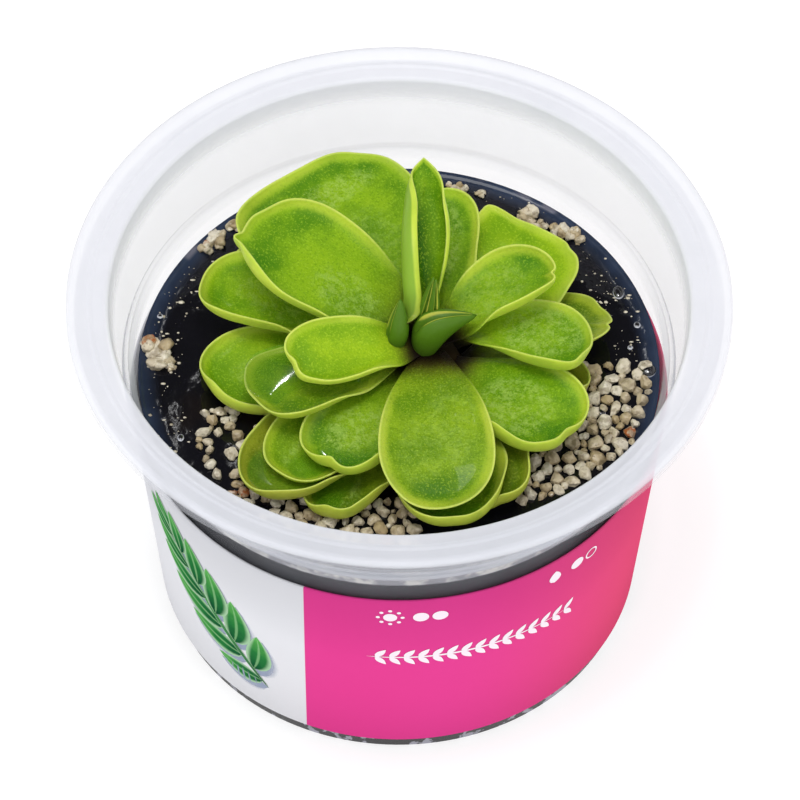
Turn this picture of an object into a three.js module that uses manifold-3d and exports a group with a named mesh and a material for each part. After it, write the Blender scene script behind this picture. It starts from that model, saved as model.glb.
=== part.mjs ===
// A young butterwort (Pinguicula) growing in a clear plastic tissue-culture cup of black nutrient gel.
// Units are millimetres, +Z is up, and the origin is the centre of the cup's base on the table.
import * as THREE from "three";
import { mergeVertices } from "three/addons/utils/BufferGeometryUtils.js";
import Module from "manifold-3d";

const wasm = await Module();
wasm.setup();

// ---- Driving dimensions ----
const gap = 0.3; // clearance between solids that touch in the real object
const weld = 1e-3; // points closer than this are one point

const cup = {
  height: 62,
  rimRadius: 47.5, // outer edge of the rolled rim
  rimWidth: 1.1,
  rimDrop: 2.6, // how far the outer edge hangs down
  flangeTop: 0.7, // the flange's top and underside lie this far below the rim
  flangeUnder: 1.9,
  flangeInner: 41.9, // where the flange turns down into the wall
  lidRing: 44.2, // radius of the small ring that a lid seals on
  lidRingSize: 0.5,
  shoulderHeight: 48.3, // stacking shoulder, a little above the gel
  shoulderRadius: 39.9,
  shoulderStep: 1,
  wallRadius: 38.9, // outside of the lower wall, just below the shoulder
  baseRadius: 34.7,
  wall: 0.8,
  foot: 1.2, // the floor stands this far above the table, inside the foot ring
  footRing: 1.3,
  edge: 0.4, // rounding of the moulded edges
};

const gel = { surface: 45, meniscus: 0.5, meniscusWidth: 1.2, corner: 1.6 };

const label = { low: 2.4, high: 41.6, thickness: 0.35 };

// The crown is a short stem that the leaves spring from. It is widest low down and tapers upwards.
const crown = {
  x: 4.5,
  y: -1.5,
  stemRadius: 2.6,
  stemDepth: 8, // how far the stem reaches down into the gel
  widest: 5.6,
  taperFrom: 1, // heights above the gel
  taperTo: 9,
  top: 11.2,
  edge: 0.6,
  leafGap: 0.4, // a leaf starts this far out from the crown
  youngThickness: 1.3,
};

const blade = {
  thickness: 1,
  widestAt: 0.64, // part of the length
  roundness: 2.2, // of the tip: 2 is an ellipse, and more is squarer
  curl: 90, // degrees that the edge is rolled up where the roll is full
  leastRoll: 0.02,
  slant: 0.8, // each row of points meets the midrib at this part of its height on the outline
  foldFull: 0.2, // part of the length by which a folded leaf is fully folded
  neckRows: 0.4, // part of the rows that lies below the widest place
};
const lipColumns = [0, 0.5, 1]; // places across the rolled lip, as parts of its width
const facets = { cup: 48, crown: 16, crownRows: 4, leaf: 8, youngLeaf: 5, sector: 6 };

// A tier says how wide the neck is against the blade, where along the leaf its edge starts to roll up and
// is fully rolled, and how wide the rolled lip is.
const tiers = {
  outer: { neck: 0.22, rollFrom: 0.4, rollTo: 0.75, lip: 2.1 },
  middle: { neck: 0.3, rollFrom: 0.3, rollTo: 0.6, lip: 2.2 },
  inner: { neck: 0.36, rollFrom: 0.1, rollTo: 0.4, lip: 2.2 },
  young: { neck: 0.7, rollFrom: 0.3, rollTo: 0.8, lip: 0.8, start: 0.6 },
};

// Azimuth is in degrees from +X, reach is from the crown's axis to the tip, and root and tip are heights
// above the gel. Arch is the angle that the midrib turns through, roll tips the blade about it with the
// clockwise edge up, and fold lifts both edges.
const leafTable = {
  outer: [
    { azimuth: -68, reach: 28.5, root: 1.6, tip: 2, width: 16, arch: 10, roll: -10 },
    { azimuth: -14, reach: 24, root: 1.6, tip: 2.4, width: 15, arch: 4, roll: 7 },
    { azimuth: 19, reach: 28, root: 2.2, tip: 3.4, width: 15, arch: 16, roll: 12 },
    { azimuth: 94, reach: 35.5, root: 1.6, tip: 2.8, width: 12, arch: 7 },
    { azimuth: 144, reach: 35.5, root: 1.6, tip: 2.4, width: 13, arch: 10 },
    { azimuth: -173, reach: 33, root: 1.6, tip: 2.5, width: 17, arch: 4, roll: 7 },
    { azimuth: -141, reach: 33.5, root: 2.9, tip: 2.9, width: 17, arch: 10, roll: 3 },
    { azimuth: -117, reach: 29.5, root: 1.2, tip: 1.3, width: 13.5, arch: 10, roll: -8 },
    { azimuth: 54, reach: 31.5, root: 3.2, tip: 5.2, width: 20, arch: 10, roll: 4 },
    { azimuth: -82, reach: 31, root: 4.2, tip: 3.3, width: 18.5, arch: 19 },
  ],
  middle: [
    { azimuth: 81, reach: 28.5, root: 4.4, tip: 8.8, width: 10, arch: 7 },
    { azimuth: -138, reach: 29, root: 4.3, tip: 4.9, width: 14, arch: 10, roll: 8 },
    { azimuth: -124, reach: 26, root: 5.9, tip: 6.3, width: 15.5, arch: 16, roll: 2 },
    { azimuth: 165, reach: 34, root: 4.4, tip: 6.6, width: 14, arch: 7, roll: 4 },
    { azimuth: -36, reach: 26.5, root: 5.6, tip: 6, width: 18, arch: 16 },
    { azimuth: -160, reach: 27, root: 7.1, tip: 8.2, width: 16, arch: 16, roll: -8 },
  ],
  inner: [
    { azimuth: -85, reach: 28.5, root: 8.3, tip: 6.7, width: 17, arch: 31 },
    { azimuth: 124, reach: 33.5, root: 5.8, tip: 13.3, width: 30, arch: 13, neck: 0.22 },
    { azimuth: 155, reach: 30, root: 8.2, tip: 17.2, width: 19.5, arch: 4, roll: -2 },
    { azimuth: -2, reach: 24, root: 7, tip: 9.4, width: 13.5, arch: 7 },
    { azimuth: 27, reach: 21, root: 8.2, tip: 15.6, width: 13, arch: 4 },
    { azimuth: -159, reach: 21, root: 9.4, tip: 13.2, width: 11, arch: 25, roll: 16 },
    { azimuth: 92, reach: 22, root: 7.9, tip: 24.7, width: 9.5, arch: 13, roll: 6, fold: 3, neck: 0.26 },
  ],
};

// The young leaves at the heart are part of the crown.
const youngLeaves = [
  { tier: "young", azimuth: 140, reach: 6.4, root: 9.4, tip: 14, width: 4.4, arch: 12 },
  { tier: "young", azimuth: 80, reach: 4.2, root: 9.6, tip: 16.4, width: 3.6, arch: 16 },
  { tier: "young", azimuth: 14, reach: 7.4, root: 9.2, tip: 13.6, width: 5.2, arch: 45 },
];

// Perlite lies in patches by the wall: bearings in degrees, inner and outer radius of each patch.
const perlite = {
  bedDepth: 1.6,
  bedSink: 0.3, // the bed's top lies this far below the gel
  smallest: 1, // radius of a granule
  largest: 1.55,
  spacing: 2.9,
  rowSpacing: 2.5,
  wander: 0.4,
  flattened: 0.85,
  raised: 0.35, // a granule's middle is this part of its radius above the bed
  patches: [
    { name: "perlite_front_right", from: -56, to: 0, inner: 29.4, outer: 36.6 },
    { name: "perlite_front", from: -122, to: -98, inner: 29, outer: 36.4 },
    { name: "perlite_front_left", from: -172, to: -127, inner: 30, outer: 36.4 },
    { name: "perlite_left", from: 164, to: 180, inner: 32.4, outer: 36.6 },
    { name: "perlite_back_left", from: 133, to: 150, inner: 33, outer: 36.6 },
    { name: "perlite_back_right", from: 40, to: 80, inner: 32.6, outer: 36.6 },
  ],
};

// ---- Solids ----
const { degToRad: radians, radToDeg: degrees, clamp, lerp, smoothstep } = THREE.MathUtils;

// A seeded random number from 0 to 1, the same on every run.
function randomSource(seed) {
  const multiplier = 16807;
  const modulus = 2 ** 31 - 1;
  let state = seed;
  return () => {
    state = (state * multiplier) % modulus;
    return state / modulus;
  };
}

function toSolid(geometry) {
  const bare = new THREE.BufferGeometry();
  bare.setAttribute("position", geometry.getAttribute("position"));
  bare.setIndex(geometry.index);
  const merged = mergeVertices(bare.index ? bare.toNonIndexed() : bare, weld);
  return new wasm.Manifold(
    new wasm.Mesh({
      numProp: 3,
      vertProperties: merged.attributes.position.array,
      triVerts: new Uint32Array(merged.index.array),
    }),
  );
}

function toGeometry(solid) {
  const mesh = solid.getMesh();
  const geometry = new THREE.BufferGeometry();
  geometry.setAttribute("position", new THREE.BufferAttribute(mesh.vertProperties, mesh.numProp));
  geometry.setIndex(new THREE.BufferAttribute(mesh.triVerts, 1));
  return geometry;
}

// Keeps the outer shell of a solid: a void sealed inside it is filled.
function largestBody(solid) {
  const larger = (one, other) => (other.volume() > one.volume() ? other : one);
  return solid.decompose().reduce(larger);
}

// Turns a profile of [radius, height] points about the vertical axis.
function turned(profile, segments) {
  const points = profile.map(([radius, height]) => new THREE.Vector2(radius, height));
  return new THREE.LatheGeometry(points, segments).rotateX(Math.PI / 2);
}

// ---- Cup, gel and label ----
// Outside radius of the tapered lower wall at a height.
function wallRadius(height) {
  return lerp(cup.baseRadius, cup.wallRadius, height / cup.shoulderHeight);
}

function makeCup() {
  const { height, rimRadius, rimWidth, rimDrop, flangeInner, lidRing, lidRingSize, edge, wall } = cup;
  const { shoulderHeight, shoulderRadius, shoulderStep, baseRadius, foot, footRing } = cup;
  const flangeTop = height - cup.flangeTop;
  const flangeUnder = height - cup.flangeUnder;
  const stepLow = shoulderHeight - shoulderStep;
  const floor = foot + wall;
  const inside = (level) => wallRadius(level) - wall;
  const outerWall = [
    [0, foot],
    [baseRadius - footRing - edge, foot],
    [baseRadius - footRing, 0],
    [baseRadius, 0],
    [wallRadius(stepLow), stepLow],
    [shoulderRadius, shoulderHeight - edge],
    [shoulderRadius, shoulderHeight + edge],
    [shoulderRadius - edge, shoulderHeight + shoulderStep],
    [flangeInner - edge / 2, flangeUnder],
  ];
  const rim = [
    [rimRadius - rimWidth, flangeUnder],
    [rimRadius - rimWidth + edge / 2, height - rimDrop],
    [rimRadius - edge / 2, height - rimDrop],
    [rimRadius, height - rimDrop + edge],
    [rimRadius, height - edge],
    [rimRadius - edge, height],
    [rimRadius - rimWidth, height],
    [rimRadius - rimWidth - lidRingSize, flangeTop],
    [lidRing + lidRingSize, flangeTop],
    [lidRing, flangeTop + edge],
    [lidRing - lidRingSize, flangeTop],
  ];
  const innerWall = [
    [flangeInner, flangeTop],
    [flangeInner - wall, flangeTop - wall],
    [shoulderRadius - wall - edge / 2, shoulderHeight + edge],
    [inside(stepLow), shoulderHeight - wall],
    [inside(floor), floor],
    [0, floor],
  ];
  return turned([...outerWall, ...rim, ...innerWall], facets.cup);
}

function makeLabel() {
  const inner = (height) => wallRadius(height) + gap;
  const { low, high, thickness } = label;
  return turned(
    [
      [inner(low), low],
      [inner(low) + thickness, low],
      [inner(high) + thickness, high],
      [inner(high), high],
      [inner(low), low],
    ],
    facets.cup,
  );
}

// The gel fills the cup; the stem stands in a plain hole and the perlite lies in shallow pockets.
function makeGel(pockets) {
  const bottom = cup.foot + cup.wall + gap;
  const radius = (height) => wallRadius(height) - cup.wall - gap;
  const block = turned(
    [
      [0, bottom],
      [radius(bottom) - gel.corner, bottom],
      [radius(bottom + gel.corner), bottom + gel.corner],
      [radius(gel.surface), gel.surface + gel.meniscus],
      [radius(gel.surface) - gel.meniscusWidth, gel.surface],
      [0, gel.surface],
    ],
    facets.cup,
  );
  const holeRadius = crown.stemRadius + gap;
  const holeDepth = crown.stemDepth + gap;
  const hole = new THREE.CylinderGeometry(holeRadius, holeRadius, 2 * holeDepth, facets.crown)
    .rotateX(Math.PI / 2)
    .translate(crown.x, crown.y, gel.surface);
  const cutters = [toSolid(hole), ...pockets];
  return toGeometry(cutters.reduce((left, cutter) => left.subtract(cutter), toSolid(block)));
}

// ---- Leaves ----
// Radius of the crown at a height above the gel.
function crownRadius(height) {
  const { widest, stemRadius, taperFrom, taperTo } = crown;
  return lerp(widest, stemRadius, clamp((height - taperFrom) / (taperTo - taperFrom), 0, 1));
}

// Flat size and starting radius of a leaf, worked out from its heights and reach.
function leafFrame(leaf) {
  const tier = tiers[leaf.tier];
  const start = tier.start ?? crownRadius(leaf.root) + crown.leafGap;
  const run = leaf.reach - start;
  const rise = leaf.tip - leaf.root;
  const arch = radians(leaf.arch);
  const length = (Math.hypot(run, rise) * (arch / 2)) / Math.sin(arch / 2);
  return { start, arch, length, slope: Math.atan2(rise, run) + arch / 2, tier };
}

// Half of the outline from the neck to the tip as [half width, part of the length]; the round end is
// stepped by angle.
function outline(width, neck, rows) {
  const neckRows = Math.round(rows * blade.neckRows);
  const points = [];
  for (let row = 0; row <= rows; row += 1) {
    if (row <= neckRows) {
      const part = row / neckRows;
      const across = neck + (1 - neck) * Math.sin((part * Math.PI) / 2);
      points.push([(across * width) / 2, blade.widestAt * part]);
    } else {
      const angle = ((row - neckRows) / (rows - neckRows)) * (Math.PI / 2);
      const across = row === rows ? 0 : Math.cos(angle) ** (2 / blade.roundness);
      const along = Math.sin(angle) ** (2 / blade.roundness);
      points.push([(across * width) / 2, lerp(blade.widestAt, 1, along)]);
    }
  }
  return points;
}

// One side of the flat blade with its edge rolled up: each row runs from the outline in to the midrib.
function halfBlade(leaf, { length, tier }, side) {
  const curl = radians(blade.curl);
  const neck = leaf.neck ?? tier.neck;
  const rows = leaf.tier === "young" ? facets.youngLeaf : facets.leaf;
  return outline(leaf.width, neck, rows).map(([halfWidth, along]) => {
    const edge = new THREE.Vector2(side * halfWidth, along * length);
    const inward = new THREE.Vector2(0, blade.slant * along * length).sub(edge);
    const whole = inward.length();
    inward.normalize();
    const lip = Math.min(tier.lip, (2 * whole) / 3);
    const rolled = Math.max(smoothstep(along, tier.rollFrom, tier.rollTo), blade.leastRoll);
    const radius = tier.lip / curl / rolled;
    return [...lipColumns.map((part) => part * lip), whole].map((distance) => {
      const angle = curl * rolled * Math.max(1 - distance / tier.lip, 0);
      const inset = distance < tier.lip ? tier.lip - radius * Math.sin(angle) : distance;
      const rise = radius * (1 - Math.cos(angle));
      return new THREE.Vector3(edge.x + inward.x * inset, edge.y + inward.y * inset, rise);
    });
  });
}

// Folds, rolls and arches a point of the flat blade about the midrib and carries it to the leaf's place.
function placePoint(leaf, { start, arch, length, slope }, point) {
  const along = point.y / length;
  const across = Math.abs(point.x) / (leaf.width / 2);
  const folded = point.z + (leaf.fold ?? 0) * across * Math.min(along / blade.foldFull, 1);
  const roll = radians(leaf.roll ?? 0);
  const side = point.x * Math.cos(roll) - folded * Math.sin(roll);
  const up = point.x * Math.sin(roll) + folded * Math.cos(roll);
  const turn = slope - arch * along;
  const bend = length / arch;
  const forward = bend * (Math.sin(slope) - Math.sin(turn)) - up * Math.sin(turn);
  const height = bend * (Math.cos(turn) - Math.cos(slope)) + up * Math.cos(turn);
  const azimuth = radians(leaf.azimuth);
  return new THREE.Vector3(
    crown.x + (start + forward) * Math.cos(azimuth) + side * Math.sin(azimuth),
    crown.y + (start + forward) * Math.sin(azimuth) - side * Math.cos(azimuth),
    gel.surface + leaf.root + height,
  );
}

// Middle surface of a whole leaf, its upper side facing up.
function leafSurface(leaf) {
  const frame = leafFrame(leaf);
  const positions = [];
  for (const side of [-1, 1]) {
    const rows = halfBlade(leaf, frame, side);
    const grid = rows.map((row) => row.map((point) => placePoint(leaf, frame, point)));
    for (let i = 0; i < grid.length - 1; i += 1) {
      for (let j = 0; j < grid[i].length - 1; j += 1) {
        const corners = [grid[i][j], grid[i + 1][j], grid[i + 1][j + 1], grid[i][j + 1]];
        if (side < 0) corners.reverse();
        const [a, b, c, d] = corners.map((corner) => corner.toArray());
        positions.push(...a, ...b, ...c, ...a, ...c, ...d);
      }
    }
  }
  const surface = new THREE.BufferGeometry();
  surface.setAttribute("position", new THREE.Float32BufferAttribute(positions, 3));
  const merged = mergeVertices(surface, weld);
  merged.computeVertexNormals();
  return merged;
}

// Gives an open surface a thickness, half to each side, and closes it along its free edges.
function thicken(surface, thickness) {
  const { position, normal } = surface.attributes;
  const index = surface.index.array;
  const vertices = [];
  for (const sign of [1, -1]) {
    for (let i = 0; i < position.count; i += 1) {
      const point = new THREE.Vector3().fromBufferAttribute(position, i);
      const offset = new THREE.Vector3().fromBufferAttribute(normal, i);
      vertices.push(...point.addScaledVector(offset, (sign * thickness) / 2).toArray());
    }
  }
  const below = position.count;
  const faces = [];
  const freeEdges = new Map();
  for (let i = 0; i < index.length; i += 3) {
    const [a, b, c] = index.slice(i, i + 3);
    faces.push(a, b, c, c + below, b + below, a + below);
    for (const [from, to] of [[a, b], [b, c], [c, a]]) {
      if (!freeEdges.delete(`${to} ${from}`)) freeEdges.set(`${from} ${to}`, [from, to]);
    }
  }
  for (const [from, to] of freeEdges.values()) {
    faces.push(from, from + below, to + below, from, to + below, to);
  }
  const body = new THREE.BufferGeometry();
  body.setAttribute("position", new THREE.Float32BufferAttribute(vertices, 3));
  body.setIndex(faces);
  return body;
}

// The stem, the crown above it and the young leaves that have not yet opened are one body.
function makeCrown() {
  const { stemRadius, stemDepth, taperFrom, taperTo, top, edge } = crown;
  const rows = Array.from({ length: facets.crownRows + 1 }, (_, row) => row / facets.crownRows);
  const profile = [
    [0, -stemDepth],
    [stemRadius - edge, -stemDepth],
    [stemRadius, edge - stemDepth],
    [stemRadius, taperFrom - edge],
    ...rows.map((row) => lerp(taperFrom, taperTo, row)).map((height) => [crownRadius(height), height]),
    [stemRadius - edge, top - edge],
    [0, top],
  ];
  const body = toSolid(turned(profile, facets.crown).translate(crown.x, crown.y, gel.surface));
  const hearts = youngLeaves.map((leaf) => toSolid(thicken(leafSurface(leaf), crown.youngThickness)));
  return toGeometry(hearts.reduce((joined, heart) => joined.add(heart), body));
}

// ---- Perlite ----
// A sector of a ring with a margin all round: the bed that holds a patch together, or its pocket.
function sector({ from, to, inner, outer }, low, high, margin) {
  const turn = (bearing, radius, sign) => radians(bearing) + (sign * margin) / radius;
  const shape = new THREE.Shape();
  shape.absarc(0, 0, outer + margin, turn(from, outer, -1), turn(to, outer, 1), false);
  shape.absarc(0, 0, inner - margin, turn(to, inner, 1), turn(from, inner, -1), true);
  shape.closePath();
  const settings = { depth: high - low, bevelEnabled: false, curveSegments: facets.sector };
  return toSolid(new THREE.ExtrudeGeometry(shape, settings).translate(0, 0, low));
}

const bedTop = gel.surface - perlite.bedSink;
const bedBottom = bedTop - perlite.bedDepth;

function makePocket(patch) {
  return sector(patch, bedBottom - gap, gel.surface + gel.meniscus + gap, gap);
}

// One patch: granules half sunk in their bed, left out where a leaf lies over them.
function makePerlite(patch, random, leafSolids) {
  const { smallest, largest, spacing, rowSpacing, wander, flattened, raised } = perlite;
  const jitter = () => lerp(-wander, wander, random());
  let body = sector(patch, bedBottom, bedTop, 0);
  for (let row = patch.inner + smallest; row <= patch.outer - smallest; row += rowSpacing) {
    const margin = degrees(largest / row);
    for (let bearing = patch.from + margin; bearing <= patch.to - margin; bearing += degrees(spacing / row)) {
      const size = lerp(smallest, largest, random());
      const radius = clamp(row + jitter(), patch.inner + size, patch.outer - size);
      const turn = radians(bearing) + jitter() / radius;
      const granule = new THREE.IcosahedronGeometry(size, 0)
        .rotateX(random() * Math.PI)
        .rotateZ(random() * Math.PI)
        .scale(1, 1, flattened)
        .translate(radius * Math.cos(turn), radius * Math.sin(turn), bedTop + size * raised);
      const lump = toSolid(granule);
      const lifted = toSolid(granule.clone().translate(0, 0, gap));
      if (leafSolids.every((leaf) => leaf.intersect(lifted).isEmpty())) body = body.add(lump);
    }
  }
  return toGeometry(largestBody(body));
}

// ---- Assembly ----
function surface(color, roughness) {
  return new THREE.MeshStandardMaterial({ color, roughness, metalness: 0 });
}

const materials = {
  cup: surface(0xe9eaf0, 0.35),
  label: surface(0xe0408f, 0.45),
  gel: surface(0x17171d, 0.08),
  perlite: surface(0xd8d2c2, 0.85),
  crown: surface(0x7c8a34, 0.4),
  leaf: surface(0x7fae24, 0.35),
};

const butterwort = new THREE.Group();

function add(name, geometry, material) {
  const mesh = new THREE.Mesh(geometry, material);
  mesh.name = name;
  butterwort.add(mesh);
}

const leaves = Object.entries(leafTable).flatMap(([tier, rows]) =>
  rows.map((row, i) => ({ name: `${tier}_leaf_${i + 1}`, tier, ...row })),
);
const leafGeometries = leaves.map((leaf) => thicken(leafSurface(leaf), blade.thickness));
const leafSolids = leafGeometries.map(toSolid);
const random = randomSource(7);

add("cup", makeCup(), materials.cup);
add("label", makeLabel(), materials.label);
add("gel", makeGel(perlite.patches.map(makePocket)), materials.gel);
for (const patch of perlite.patches) {
  add(patch.name, makePerlite(patch, random, leafSolids), materials.perlite);
}
add("crown", makeCrown(), materials.crown);
leaves.forEach((leaf, i) => add(leaf.name, leafGeometries[i], materials.leaf));

export default butterwort;
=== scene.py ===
import random
from math import atan2, copysign, cos, degrees, exp, hypot, pi, radians, sin, sqrt

import bmesh
import bpy
from mathutils import Matrix, Vector, noise
from mathutils.bvhtree import BVHTree


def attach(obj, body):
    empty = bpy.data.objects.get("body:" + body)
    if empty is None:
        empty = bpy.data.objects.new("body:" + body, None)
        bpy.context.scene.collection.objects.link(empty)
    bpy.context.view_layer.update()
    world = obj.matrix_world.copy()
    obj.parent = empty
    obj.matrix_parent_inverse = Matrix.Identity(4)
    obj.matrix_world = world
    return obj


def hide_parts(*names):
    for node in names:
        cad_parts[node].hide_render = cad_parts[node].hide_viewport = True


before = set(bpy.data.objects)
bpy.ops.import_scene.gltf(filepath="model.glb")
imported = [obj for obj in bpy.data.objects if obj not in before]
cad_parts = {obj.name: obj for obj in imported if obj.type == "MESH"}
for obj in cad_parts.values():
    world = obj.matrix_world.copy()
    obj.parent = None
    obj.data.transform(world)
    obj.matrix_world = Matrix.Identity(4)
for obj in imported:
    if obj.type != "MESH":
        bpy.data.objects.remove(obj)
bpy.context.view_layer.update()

mm = 0.001  # shapes are worked out in millimetres and stored in metres
fullTurn = 2 * pi


def lerp(low, high, part):
    return low + (high - low) * part


def clamp(value, low=0, high=1):
    return max(low, min(high, value))


def smoothstep(value, low, high):
    part = clamp((value - low) / (high - low))
    return part * part * (3 - 2 * part)


def tint(code):
    # "#rrggbb" as Blender's linear colour
    parts = [int(code[i:i + 2], 16) / 255 for i in (1, 3, 5)]
    return tuple(p / 12.92 if p <= 0.04045 else ((p + 0.055) / 1.055) ** 2.4 for p in parts) + (1,)


def polar(radius, angle, height):
    return Vector((radius * cos(angle), radius * sin(angle), height))


def stretched(point, factors):
    return Vector([length * factor for length, factor in zip(point, factors)])


class Wire:
    # one output socket, so that shader maths reads as sums
    def __init__(self, paint, socket):
        self.paint = paint
        self.socket = socket

    def math(self, operation, *values):
        return self.paint.node("ShaderNodeMath", {"operation": operation}, *values)

    def __add__(self, other):
        return self.math("ADD", self, other)

    def __sub__(self, other):
        return self.math("SUBTRACT", self, other)

    def __rsub__(self, other):
        return self.math("SUBTRACT", other, self)

    def __mul__(self, other):
        return self.math("MULTIPLY", self, other)

    def __truediv__(self, other):
        return self.math("DIVIDE", self, other)

    def __rtruediv__(self, other):
        return self.math("DIVIDE", other, self)

    def __pow__(self, other):
        return self.math("POWER", self, other)

    __radd__ = __add__
    __rmul__ = __mul__


class Paint:
    # a material, or a world's tree, whose nodes come from node()
    def __init__(self, name, tree=None):
        if tree is None:
            self.material = bpy.data.materials.new(name)
            self.material.use_nodes = True
        self.tree = tree or self.material.node_tree
        self.tree.nodes.clear()
        self.end = self.tree.nodes.new("ShaderNodeOutputWorld" if tree else "ShaderNodeOutputMaterial")

    def node(self, kind, settings=None, *values, out=0, **named):
        made = self.tree.nodes.new(kind)
        for key, value in (settings or {}).items():
            if key == "stops":
                ramp = made.color_ramp.elements
                for place, colour in value[1:-1]:
                    ramp.new(place).color = colour
                for element, (place, colour) in ((ramp[0], value[0]), (ramp[-1], value[-1])):
                    element.position, element.color = place, colour
            else:
                setattr(made, key, value)
        for place, value in list(enumerate(values)) + list(named.items()):
            self.feed(made.inputs[place.replace("_", " ") if isinstance(place, str) else place], value)
        return Wire(self, made.outputs[out])

    def feed(self, socket, value):
        # a link, a number, or a colour by its code
        if isinstance(value, Wire):
            self.tree.links.new(value.socket, socket)
        else:
            socket.default_value = tint(value) if isinstance(value, str) else value

    def place(self):
        return self.node("ShaderNodeTexCoord", out="Object")

    def attribute(self, name):
        return self.node("ShaderNodeAttribute", {"attribute_name": name}, out="Fac")

    def spot(self):
        # across, deep and up, in millimetres
        split = self.node("ShaderNodeSeparateXYZ", None, self.place()).socket.node
        return [Wire(self, output) / mm for output in split.outputs]

    def noise(self, scale, detail=2, roughness=0.5):
        return self.node("ShaderNodeTexNoise", Vector=self.place(), Scale=scale, Detail=detail, Roughness=roughness)

    def cells(self, scale):
        return self.node("ShaderNodeTexVoronoi", Vector=self.place(), Scale=scale, out="Distance")

    def ramp(self, value, low, high):
        # 0 below low, 1 above high; low may be the larger
        return self.node("ShaderNodeMapRange", {"interpolation_type": "SMOOTHSTEP"}, value, low, high, 0, 1)

    def mix(self, part, first, second):
        made = self.node("ShaderNodeMix", {"data_type": "RGBA"}, part, out=2)
        for place, colour in ((6, first), (7, second)):
            self.feed(made.socket.node.inputs[place], colour)
        return made

    def shades(self, value, *codes):
        # evenly spaced colours along a value from 0 to 1
        stops = [(place / (len(codes) - 1), tint(code)) for place, code in enumerate(codes)]
        return self.node("ShaderNodeValToRGB", {"stops": stops}, value)

    def bump(self, height, distance, strength=1):
        return self.node("ShaderNodeBump", Height=height, Distance=distance, Strength=strength)

    def finish(self, **inputs):
        shader = self.node("ShaderNodeBsdfPrincipled", None, **inputs)
        self.tree.links.new(shader.socket, self.end.inputs["Surface"])
        return self.material


def meshWith(*names):
    # an empty mesh whose vertices carry these values for the shaders
    bm = bmesh.new()
    for name in names:
        bm.verts.layers.float.new(name)
    return bm


def setValues(bm, vert, **values):
    for name, value in values.items():
        vert[bm.verts.layers.float[name]] = value


def closeUp(bm, distance):
    bmesh.ops.remove_doubles(bm, verts=bm.verts, dist=distance)
    bmesh.ops.recalc_face_normals(bm, faces=bm.faces)


def toMesh(name, bm, smooth=True):
    bmesh.ops.scale(bm, vec=(mm, mm, mm), verts=bm.verts)
    for face in bm.faces:
        face.smooth = smooth
    mesh = bpy.data.meshes.new(name)
    bm.to_mesh(mesh)
    bm.free()
    return mesh


def addObject(name, data):
    made = bpy.data.objects.new(name, data)
    bpy.context.scene.collection.objects.link(made)
    return made


def addPiece(name, bm, material, nodes=(), smooth=True):
    piece = addObject(name, toMesh(name, bm, smooth))
    piece.data.materials.append(material)
    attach(piece, "root")
    if nodes:
        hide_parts(*nodes)
    return piece


def thicken(piece, thickness, offset, group=""):
    solid = piece.modifiers.new("thickness", "SOLIDIFY")
    solid.thickness, solid.offset, solid.vertex_group = thickness * mm, offset, group
    return solid


def spin(profile, steps):
    # turns [radius, height] points about the axis into a closed shell
    bm = bmesh.new()
    corners = [bm.verts.new((radius, 0, height)) for radius, height in profile]
    edges = [bm.edges.new(pair) for pair in zip(corners, corners[1:])]
    bmesh.ops.spin(bm, geom=corners + edges, cent=(0, 0, 0), axis=(0, 0, 1), angle=fullTurn, steps=steps,
                   use_merge=True)
    closeUp(bm, 0.001)
    return bm


def roundRings(bm, offset, segments, sharp=0.3):
    rings = [e for e in bm.edges if e.is_manifold and e.calc_face_angle(0) > sharp]
    bmesh.ops.bevel(bm, geom=rings, offset=offset, affect="EDGES", segments=segments, profile=0.5, material=-1,
                    clamp_overlap=True)


cup = {
    "height": 62, "rimRadius": 47.5, "rimWidth": 1.1, "rimDrop": 2.6, "flangeTop": 0.7, "flangeUnder": 1.9,
    "flangeInner": 41.9, "lidRing": 44.2, "lidRingSize": 0.5, "lidRingRise": 0.1, "shoulderHeight": 48.3,
    "shoulderRadius": 39.9, "shoulderStep": 1, "wallRadius": 38.9, "baseRadius": 34.7, "wall": 0.8, "foot": 1.2,
    "footRing": 1.3, "edge": 0.4, "steps": 144, "rounding": 0.16,
}
# How milky the plastic is, by height, radius or depth: where each veil begins, where it is full, and how strong
# it is. Depth runs from the back (above 0) to the front.
frost = {
    "wall": 0.09, "upper": ((47.4, 49.2), 0.08), "flange": ((56.5, 60.6), 0.56), "skirt": 0.52,
    "skirtRadius": (46.1, 46.5), "skirtHeight": (61.5, 60.9), "shoulderLow": (47.3, 48),
    "shoulderHigh": (49.6, 49), "shoulder": 0.5, "shoulderBehind": 0.2, "dustLow": (44.8, 45.3),
    "dustHigh": (48.2, 47.2), "dustFront": (2, -12), "foot": (3, 2.7), "footDark": 0.9,
}


def wallRadius(height):
    return lerp(cup["baseRadius"], cup["wallRadius"], height / cup["shoulderHeight"])


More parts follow.
